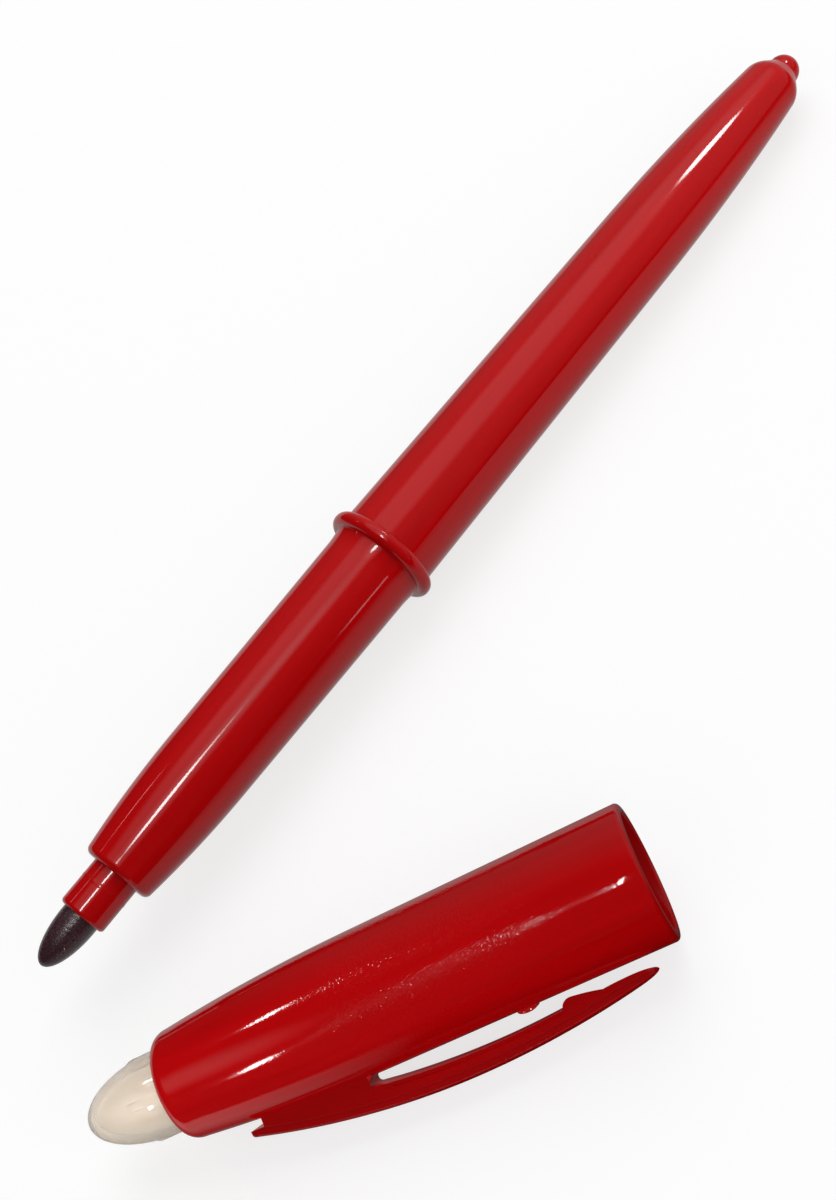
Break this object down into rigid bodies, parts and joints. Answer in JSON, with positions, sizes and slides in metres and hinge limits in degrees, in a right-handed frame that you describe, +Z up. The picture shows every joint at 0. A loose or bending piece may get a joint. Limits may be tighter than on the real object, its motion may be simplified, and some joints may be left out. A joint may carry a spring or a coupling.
{
  "type": "double-ended permanent marker",
  "caption": "Slim tapered marker with a broad bullet nib, a fine point under a pull-off tail cap, and a clip cap with a translucent dome lying beside it.",
  "frame": {"origin": "bottom centre of the whole, on the table that the barrel and the cap lie on", "axes": "+Z up from the table; +X along the cap, out of its mouth; the barrel lies at 213.7 degrees from +X, nib end first"},
  "size_m": [0.1152, 0.1044, 0.0133],
  "materials": {
    "red_plastic": "glossy moulded polypropylene",
    "inked_nib": "bonded fibre soaked with dark ink",
    "soaked_fibre": "bundled fibre soaked with ink",
    "clear_film": "thin wrapping film",
    "milky_plastic": "translucent natural polypropylene"
  },
  "bodies": {
    "barrel": {"barrel": "red_plastic", "front_section": "red_plastic", "broad_nib_holder": "red_plastic", "broad_nib": "inked_nib", "ink_reservoir": "soaked_fibre", "reservoir_sleeve": "clear_film", "fine_nib_holder": "red_plastic", "fine_nib": "inked_nib"},
    "tail_cap": {"tail_cap": "red_plastic", "tail_cap_liner": "milky_plastic"},
    "cap": {"cap_shell": "red_plastic", "inner_cap": "milky_plastic"},
    "clip": {"clip": "red_plastic"}
  },
  "joints": [
    {"name": "tail_cap_pull", "type": "slide", "parent": "barrel", "child": "tail_cap", "axis": [0.8316, 0.5546, -0.0291], "range_m": [0, 0.018]},
    {"name": "cap_push", "type": "slide", "parent": "barrel", "child": "cap", "axis": [1, 0, 0.0079], "range_m": [0, 0.05]},
    {"name": "clip_flex", "type": "hinge", "parent": "cap", "child": "clip", "pos_m": [-0.03984, -0.04809, 0.0032], "axis": [0.0068, 0.505, -0.8631], "range_deg": [0, 3], "stiffness_Nm_per_rad": 0.02}
  ]
}
